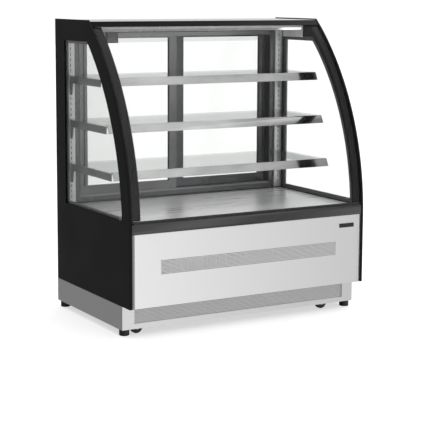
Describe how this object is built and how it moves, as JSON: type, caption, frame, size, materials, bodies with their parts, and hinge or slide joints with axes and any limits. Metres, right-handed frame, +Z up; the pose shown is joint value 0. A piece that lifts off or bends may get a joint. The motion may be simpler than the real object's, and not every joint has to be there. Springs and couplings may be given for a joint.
{
  "type": "refrigerated bakery display case",
  "caption": "Floor-standing refrigerated display case with curved front glass, glass shelves, sliding rear doors and a stainless steel base with perforated vents.",
  "frame": {"origin": "on the floor under the middle of the case", "axes": "+Z up, -Y towards the customer's side, +X to the customer's right"},
  "size_m": [1.2, 0.75, 1.333],
  "materials": {
    "black_panel": "satin black coated wall",
    "clear_glass": "clear toughened glass",
    "spacer_grey": "anodised spacer bar",
    "seal_black": "extruded gasket",
    "belt_black": "dark grey gloss",
    "stainless": "brushed stainless steel",
    "plinth_steel": "satin stainless steel",
    "badge": "plain plate with no lettering",
    "liner_steel": "bright stainless steel",
    "lamp_body": "anodised",
    "lamp_lens": "opal diffuser",
    "grey_plastic": "moulded",
    "frame_grey": "dark satin extrusion",
    "track_grey": "extruded plastic",
    "door_profile": "dark satin extrusion",
    "pilaster_steel": "slotted stainless steel",
    "foam": "polyurethane foam",
    "coil_metal": "finned coil",
    "shroud_metal": "black coated sheet",
    "compressor_black": "black enamel",
    "copper": "copper tube",
    "rear_sheet": "coated steel sheet",
    "control_plastic": "moulded",
    "button_plastic": "moulded",
    "rocker_plastic": "moulded",
    "gland_plastic": "moulded",
    "zinc": "zinc plated",
    "foot_black": "moulded pad",
    "wheel_black": "solid tread",
    "shelf_glass": "clear toughened glass",
    "mirror_steel": "mirror polished",
    "deck_steel": "brushed stainless steel",
    "fan_plastic": "moulded"
  },
  "bodies": {
    "cabinet": {"plinth_frame": "plinth_steel", "plinth_grille": "plinth_steel", "caster_forks": "zinc", "side_panel_left": "black_panel", "side_panel_right": "black_panel", "side_glazing_left": "clear_glass", "side_glazing_right": "clear_glass", "side_spacers": "spacer_grey", "front_glass": "clear_glass", "glass_channel": "seal_black", "belt_rail": "belt_black", "front_panel": "stainless", "badge_plate": "badge", "fascia_rail": "black_panel", "top_panel": "stainless", "canopy_liner": "liner_steel", "lamp_housing": "lamp_body", "lamp_diffuser": "lamp_lens", "sensor_housing": "grey_plastic", "rear_frame": "frame_grey", "door_tracks": "track_grey", "pilasters": "pilaster_steel", "shelf_brackets_left": "pilaster_steel", "shelf_brackets_right": "pilaster_steel", "well_insulation": "foam", "well_liner": "liner_steel", "evaporator_coil": "coil_metal", "evaporator_shroud": "shroud_metal", "condenser_coil": "coil_metal", "condenser_shroud": "shroud_metal", "compressor": "compressor_black", "refrigerant_pipes": "copper", "rear_panel": "rear_sheet", "control_box": "control_plastic", "cable_gland": "gland_plastic", "panel_screws": "zinc"},
    "left_door": {"door_frame_left": "door_profile", "door_glass_left": "clear_glass"},
    "right_door": {"door_frame_right": "door_profile", "door_glass_right": "clear_glass"},
    "lower_shelf": {"shelf_glass_lower": "shelf_glass", "shelf_lip_lower": "mirror_steel"},
    "middle_shelf": {"shelf_glass_middle": "shelf_glass", "shelf_lip_middle": "mirror_steel"},
    "upper_shelf": {"shelf_glass_upper": "shelf_glass", "shelf_lip_upper": "mirror_steel"},
    "deck": {"deck_pan": "deck_steel"},
    "front_left_foot": {"foot_front_left": "foot_black"},
    "front_right_foot": {"foot_front_right": "foot_black"},
    "rear_left_foot": {"foot_rear_left": "foot_black"},
    "rear_right_foot": {"foot_rear_right": "foot_black"},
    "front_left_wheel": {"caster_wheel_front_left": "wheel_black"},
    "front_right_wheel": {"caster_wheel_front_right": "wheel_black"},
    "rear_left_wheel": {"caster_wheel_rear_left": "wheel_black"},
    "rear_right_wheel": {"caster_wheel_rear_right": "wheel_black"},
    "condenser_fan_rotor": {"condenser_fan": "fan_plastic"},
    "evaporator_fan_rotor": {"evaporator_fan": "fan_plastic"},
    "up_button": {"button_up": "button_plastic"},
    "down_button": {"button_down": "button_plastic"},
    "rocker": {"light_rocker": "rocker_plastic"}
  },
  "joints": [
    {"name": "left_door_slide", "type": "slide", "parent": "cabinet", "child": "left_door", "axis": [1, 0, 0], "range_m": [0, 0.51]},
    {"name": "right_door_slide", "type": "slide", "parent": "cabinet", "child": "right_door", "axis": [1, 0, 0], "range_m": [-0.49, 0]},
    {"name": "lower_shelf_lift", "type": "slide", "parent": "cabinet", "child": "lower_shelf", "axis": [0, 0, 1], "range_m": [0, 0.06]},
    {"name": "middle_shelf_lift", "type": "slide", "parent": "cabinet", "child": "middle_shelf", "axis": [0, 0, 1], "range_m": [0, 0.06]},
    {"name": "upper_shelf_lift", "type": "slide", "parent": "cabinet", "child": "upper_shelf", "axis": [0, 0, 1], "range_m": [0, 0.06]},
    {"name": "deck_lift", "type": "slide", "parent": "cabinet", "child": "deck", "axis": [0, 0, 1], "range_m": [0, 0.06]},
    {"name": "front_left_foot_turn", "type": "hinge", "parent": "cabinet", "child": "front_left_foot", "pos_m": [-0.575, -0.27, 0], "axis": [0, 0, 1], "continuous": true},
    {"name": "front_right_foot_turn", "type": "hinge", "parent": "cabinet", "child": "front_right_foot", "pos_m": [0.575, -0.27, 0], "axis": [0, 0, 1], "continuous": true},
    {"name": "rear_left_foot_turn", "type": "hinge", "parent": "cabinet", "child": "rear_left_foot", "pos_m": [-0.575, 0.345, 0], "axis": [0, 0, 1], "continuous": true},
    {"name": "rear_right_foot_turn", "type": "hinge", "parent": "cabinet", "child": "rear_right_foot", "pos_m": [0.575, 0.345, 0], "axis": [0, 0, 1], "continuous": true},
    {"name": "front_left_wheel_spin", "type": "hinge", "parent": "cabinet", "child": "front_left_wheel", "pos_m": [-0.516, -0.265, 0.0292], "axis": [0, 1, 0], "continuous": true},
    {"name": "front_right_wheel_spin", "type": "hinge", "parent": "cabinet", "child": "front_right_wheel", "pos_m": [0.444, -0.265, 0.0292], "axis": [0, 1, 0], "continuous": true},
    {"name": "rear_left_wheel_spin", "type": "hinge", "parent": "cabinet", "child": "rear_left_wheel", "pos_m": [-0.516, 0.315, 0.0292], "axis": [0, 1, 0], "continuous": true},
    {"name": "rear_right_wheel_spin", "type": "hinge", "parent": "cabinet", "child": "rear_right_wheel", "pos_m": [0.444, 0.315, 0.0292], "axis": [0, 1, 0], "continuous": true},
    {"name": "condenser_fan_spin", "type": "hinge", "parent": "cabinet", "child": "condenser_fan_rotor", "pos_m": [-0.2, -0.17, 0.222], "axis": [0, 1, 0], "continuous": true},
    {"name": "evaporator_fan_spin", "type": "hinge", "parent": "cabinet", "child": "evaporator_fan_rotor", "pos_m": [0, 0.0125, 0.4122], "axis": [0, 1, 0], "continuous": true},
    {"name": "up_button_press", "type": "slide", "parent": "cabinet", "child": "up_button", "axis": [0, -1, 0], "range_m": [0, 0.0015], "stiffness_N_per_m": 400},
    {"name": "down_button_press", "type": "slide", "parent": "cabinet", "child": "down_button", "axis": [0, -1, 0], "range_m": [0, 0.0015], "stiffness_N_per_m": 400},
    {"name": "light_rocker_tilt", "type": "hinge", "parent": "cabinet", "child": "rocker", "pos_m": [0.468, 0.366, 0.423], "axis": [1, 0, 0], "range_deg": [0, 12]}
  ]
}
